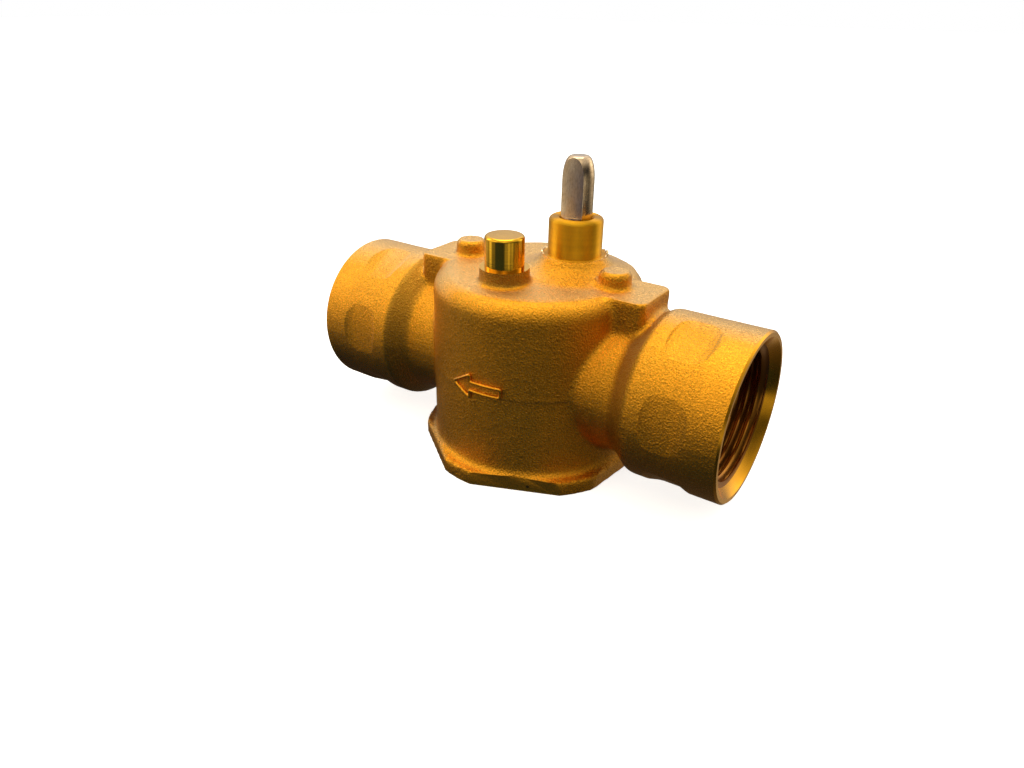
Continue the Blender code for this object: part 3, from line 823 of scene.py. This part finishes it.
def valve_stem(material, milled):
    """Drive stem with a domed tip, milled flats, collar, seal grooves and cross hole."""
    outline = [(0, STEM_BOTTOM), (STEM_RADIUS - 0.4, STEM_BOTTOM), (STEM_RADIUS, STEM_BOTTOM + 0.4)]
    for index, (bottom, top) in enumerate(GROOVES):
        outline += [(STEM_RADIUS, bottom), (GROOVE_RADIUS, bottom), (GROOVE_RADIUS, top),
                    (STEM_RADIUS, top)]
        if index == 0:
            outline += [(STEM_RADIUS, COLLAR[0]), (COLLAR_RADIUS - 0.2, COLLAR[0]),
                        (COLLAR_RADIUS, COLLAR[0] + 0.2), (COLLAR_RADIUS, COLLAR[1]),
                        (STEM_RADIUS, COLLAR[1])]
    for step in range(13):
        angle = math.radians(90) * step / 13
        radius = STEM_TIP_RADIUS + (STEM_RADIUS - STEM_TIP_RADIUS) * math.cos(angle) ** 0.8
        outline.append((radius, STEM_TOP - STEM_TIP_LENGTH + STEM_TIP_LENGTH * math.sin(angle)))
    outline += [(STEM_TIP_RADIUS, STEM_TOP), (0, STEM_TOP)]
    stem = turned("valve_stem_blade", outline, 72, place_at(STEM_X, STEM_Y), (material,))
    cuts = []
    for side in (-1, 1):
        near, far = sorted((side * BLADE_HALF, side * (STEM_RADIUS + 1)))
        corners = [(-4, near), (4, near), (4, far), (-4, far)]
        cuts.append(prism("flat_cut", corners, BLADE_BOTTOM, STEM_TOP + 1,
                          place_at(STEM_X, STEM_Y), (milled,)))
    cross = place_at(STEM_X, STEM_Y, PIN_HEIGHT) @ Matrix.Rotation(CLOSED_ANGLE, 4, "Z")
    cross = cross @ Matrix.Rotation(math.pi / 2, 4, "X")
    reach = 2 * STEM_RADIUS
    hole = [(0, -reach), (PIN_HOLE, -reach), (PIN_HOLE, reach), (0, reach)]
    cuts.append(turned("cross_hole", hole, 24, cross, (material,)))
    combine(stem, cuts, "DIFFERENCE")
    round_edges(stem, STEM_EDGE)
    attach(stem, "stem")
    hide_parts("valve_stem")


def round_edges(item, width):
    """A small round on every sharp edge, so that edges catch the light."""
    bevel = item.modifiers.new("edges", "BEVEL")
    bevel.width = width * MM
    bevel.segments = 2
    bevel.limit_method = "ANGLE"
    bevel.angle_limit = math.radians(35)
    bevel.use_clamp_overlap = True
    apply_modifiers(item)
    shade(item, 40)


# ---------------------------------------------------------------- CAD pieces that stay

def repaint(mats):
    """Give every CAD piece that stays visible its full material."""
    by_slot = {"turned_brass": mats["turned"], "stem_metal": mats["stem"],
               "stainless": mats["stainless"], "seal_rubber": mats["rubber"],
               "bearing_plastic": mats["plastic"], "cast_brass": mats["cast"]}
    for entry in frame["record"]["subparts"]:
        node = frame["nodes"][entry["node"]]
        for slot in node.material_slots:
            slot.material = by_slot[entry["material_slot"]]


# ---------------------------------------------------------------- stage

class Sky:
    """Studio surround: each patch of light is a soft lobe round a direction."""

    def __init__(self):
        world = bpy.data.worlds.new("studio")
        bpy.context.scene.world = world
        world.use_nodes = True
        self.tree = world.node_tree
        self.tree.nodes.clear()
        self.direction = self.tree.nodes.new("ShaderNodeTexCoord").outputs["Generated"]
        level = self.node("ShaderNodeVectorMath", "MULTIPLY", self.direction, (1.0, 1.0, 0.0))
        level = self.node("ShaderNodeVectorMath", "NORMALIZE", level.outputs[0])
        self.level = level.outputs[0]
        self.total = None

    def node(self, kind, operation, *values):
        node = self.tree.nodes.new(kind)
        node.operation = operation
        for socket, value in zip(node.inputs, values):
            if isinstance(value, bpy.types.NodeSocket):
                self.tree.links.new(value, socket)
            else:
                socket.default_value = value
        return node

    def add(self, shape, colour):
        scaled = self.tree.nodes.new("ShaderNodeVectorMath")
        scaled.operation = "SCALE"
        scaled.inputs[0].default_value = colour
        self.tree.links.new(shape, scaled.inputs["Scale"])
        light = scaled.outputs[0]
        if self.total:
            light = self.node("ShaderNodeVectorMath", "ADD", self.total, light).outputs[0]
        self.total = light

    def lobe(self, axis, power, colour):
        """Light round an axis. A higher power makes a smaller, crisper patch."""
        along = self.node("ShaderNodeVectorMath", "DOT_PRODUCT", self.direction,
                          Vector(axis).normalized()).outputs["Value"]
        along = self.node("ShaderNodeMath", "MAXIMUM", along, 0.0).outputs[0]
        self.add(self.node("ShaderNodeMath", "POWER", along, power).outputs[0], colour)

    def rise(self, low, high):
        """Grows from 0 to 1 between two heights of the direction's Z."""
        split = self.tree.nodes.new("ShaderNodeSeparateXYZ")
        self.tree.links.new(self.direction, split.inputs[0])
        ramp = self.tree.nodes.new("ShaderNodeMapRange")
        ramp.interpolation_type = "SMOOTHSTEP"
        ramp.inputs["From Min"].default_value = low
        ramp.inputs["From Max"].default_value = high
        self.tree.links.new(split.outputs["Z"], ramp.inputs["Value"])
        return ramp.outputs["Result"]

    def dome(self, low, high, colour):
        """Light that grows from one height above the horizon to another."""
        self.add(self.rise(low, high), colour)

    def strip(self, azimuth, power, colour):
        """Upright strip light below the horizon, which stripes the turned surfaces."""
        along = self.node("ShaderNodeVectorMath", "DOT_PRODUCT", self.level,
                          toward(azimuth, 0)).outputs["Value"]
        along = self.node("ShaderNodeMath", "MAXIMUM", along, 0.0).outputs[0]
        along = self.node("ShaderNodeMath", "POWER", along, power).outputs[0]
        window = self.node("ShaderNodeMath", "MULTIPLY", self.rise(-0.34, -0.28),
                           self.rise(0.05, -0.15)).outputs[0]
        self.add(self.node("ShaderNodeMath", "MULTIPLY", along, window).outputs[0], colour)

    def finish(self):
        """The camera sees plain white; everything else sees the lobes."""
        lit = self.tree.nodes.new("ShaderNodeBackground")
        seen = self.tree.nodes.new("ShaderNodeBackground")
        seen.inputs["Color"].default_value = (1.0, 1.0, 1.0, 1.0)
        path = self.tree.nodes.new("ShaderNodeLightPath")
        mix = self.tree.nodes.new("ShaderNodeMixShader")
        out = self.tree.nodes.new("ShaderNodeOutputWorld")
        self.tree.links.new(self.total, lit.inputs["Color"])
        self.tree.links.new(path.outputs["Is Camera Ray"], mix.inputs["Fac"])
        self.tree.links.new(lit.outputs[0], mix.inputs[1])
        self.tree.links.new(seen.outputs[0], mix.inputs[2])
        self.tree.links.new(mix.outputs["Shader"], out.inputs["Surface"])


def toward(azimuth, elevation):
    """Direction from the object, azimuth in degrees from +X towards +Y."""
    flat = math.cos(math.radians(elevation))
    return (flat * math.cos(math.radians(azimuth)), flat * math.sin(math.radians(azimuth)),
            math.sin(math.radians(elevation)))


# Soft patches of the studio: azimuth, elevation, how tight the patch is, and its colour.
PATCHES = (
    (-90, -38, 2.5, (0.018, 0.044, 0.150)),    # cool floor in front
    (70, -60, 4.0, (0.10, 0.08, 0.05)),        # warm floor behind
    (76, -34, 30.0, (0.36, 0.31, 0.18)),       # seen in the inlet port's rim
    (118, 26, 3.5, (0.66, 0.65, 0.65)),        # broad light behind, over the tops
    (57, 12, 14.0, (1.80, 1.64, 1.26)),        # strong light behind on the inlet side
    (-178, 16, 9.0, (0.52, 0.47, 0.38)),       # fill from the outlet side
    (-135, 17, 20.0, (1.15, 1.01, 0.71)),      # front lights, which the ports' upper halves show
    (-110, 26, 40.0, (0.90, 0.80, 0.56)),
    (-60, 48, 16.0, (0.50, 0.45, 0.32)),       # front lights on the drum's fillet and the tower
    (-56, 24, 50.0, (0.60, 0.54, 0.38)),
)
# Upright strips below the horizon: azimuth, how narrow the strip is, and its level.
STRIPS = ((-172, 31, 0.45), (-141, 60, 1.05), (-116, 200, 0.22), (-47, 120, 0.36), (-30, 90, 0.78),
          (-11, 120, 0.60), (8, 90, 0.22), (32, 30, 0.08), (64, 30, 0.10))


def make_world():
    sky = Sky()
    sky.dome(-1.0, 0.2, (0.032, 0.033, 0.036))
    sky.dome(0.12, 0.72, (0.76, 0.71, 0.59))
    for azimuth, elevation, power, colour in PATCHES:
        sky.lobe(toward(azimuth, elevation), power, colour)
    for azimuth, power, level in STRIPS:
        sky.strip(azimuth, power, (level, 0.93 * level, 0.70 * level))
    sky.finish()


FLOOR_SIZE, FLOOR_DROP = 6.0, 0.00005    # metres; the foot stands just clear of the floor
FLOOR_GREY, FLOOR_GLOW = 0.90, 0.75


def make_floor():
    bpy.ops.mesh.primitive_plane_add(size=FLOOR_SIZE, location=(0, 0, -FLOOR_DROP))
    floor = bpy.context.object
    floor.name = "floor"
    material = bpy.data.materials.new("floor_pale")
    material.use_nodes = True
    shader = material.node_tree.nodes["Principled BSDF"]
    shader.inputs["Base Color"].default_value = (FLOOR_GREY, FLOOR_GREY, FLOOR_GREY, 1.0)
    shader.inputs["Roughness"].default_value = 0.9
    shader.inputs["Emission Color"].default_value = (1.0, 1.0, 1.0, 1.0)
    shader.inputs["Emission Strength"].default_value = FLOOR_GLOW
    floor.data.materials.append(material)
    floor.visible_glossy = False


def softbox(name, place, size, power, colour):
    """Rectangular light aimed at the middle of the object; places and sizes in metres."""
    data = bpy.data.lights.new(name, "AREA")
    data.shape = "RECTANGLE"
    data.size, data.size_y = size
    data.energy = power
    data.color = colour
    lamp = linked(name, data)
    lamp.location = place
    aim = Vector((0.0, 0.0, 0.025)) - Vector(place)
    lamp.rotation_euler = aim.to_track_quat("-Z", "Y").to_euler()


def make_lights():
    softbox("top_softbox", (-0.10, 0.10, 0.55), (0.40, 0.40), 1.3, (1.0, 0.94, 0.84))
    softbox("left_softbox", (-0.55, -0.15, 0.30), (0.25, 0.40), 0.6, (1.0, 0.90, 0.74))


# The camera: where it stands in metres, its right and backward directions, and its lens in mm.
CAMERA_PLACE = (0.0742, -0.11703, 0.08407)
CAMERA_RIGHT = (0.82112, 0.57062, 0.01257)
CAMERA_BACK = (0.50157, -0.73192, 0.46122)
LENS, SENSOR = 26.1, 36.0


def make_camera():
    data = bpy.data.cameras.new("camera")
    data.lens, data.sensor_width = LENS, SENSOR
    data.clip_start, data.clip_end = 0.005, 20.0
    camera = linked("camera", data)
    back = Vector(CAMERA_BACK).normalized()
    up = back.cross(Vector(CAMERA_RIGHT)).normalized()
    turn = Matrix((up.cross(back), up, back)).transposed().to_4x4()
    camera.matrix_world = Matrix.Translation(CAMERA_PLACE) @ turn
    bpy.context.scene.camera = camera


def make_materials():
    stem, post, pipe = (STEM_X, STEM_Y), (POST_X, POST_Y), (0.0, PIPE_HEIGHT)
    return {
        "cast": cast_brass(),
        "ridge": cast_brass("cast_brass_ridge", 0.25, (0.34, 0.24)),
        "milled": cast_brass("cast_brass_trimmed", 0.6, (0.40, 0.30)),
        "turned": turned_brass("turned_brass_bright"),
        "tower": turned_brass("turned_brass_tower", (0.97, 0.50, 0.02), 0.45, stem, spread=1.0),
        "post": turned_brass("turned_brass_post", (0.86, 0.46, 0.028), 0.09, post),
        # painted glint: the burr's brass is paled towards white, standing in for glints on its
        # chips
        "burr": turned_brass("turned_brass_burr_painted_glint", (0.95, 0.72, 0.42), 0.16, stem),
        "rim": turned_brass("turned_brass_rim", centre=pipe, lying=True),
        # painted shade: bores, threads, chamber, stop holes and punch mark are much darker than the
        # brass, standing in for the shade inside them
        "bore": turned_brass("bored_brass_painted_shade", (0.34, 0.13, 0.022), 0.28, pipe, lying=True),
        "stem": stem_metal(),
        "flats": stem_metal("stem_milled_flats", 0.26),
        "stainless": stainless(),
        "rubber": seal_rubber(),
        "plastic": bearing_plastic(),
    }


def main():
    bpy.context.scene.view_settings.view_transform = "Standard"
    mats = make_materials()
    valve_body(mats)
    valve_stem(mats["stem"], mats["flats"])
    repaint(mats)
    make_world()
    make_floor()
    make_lights()
    make_camera()


main()
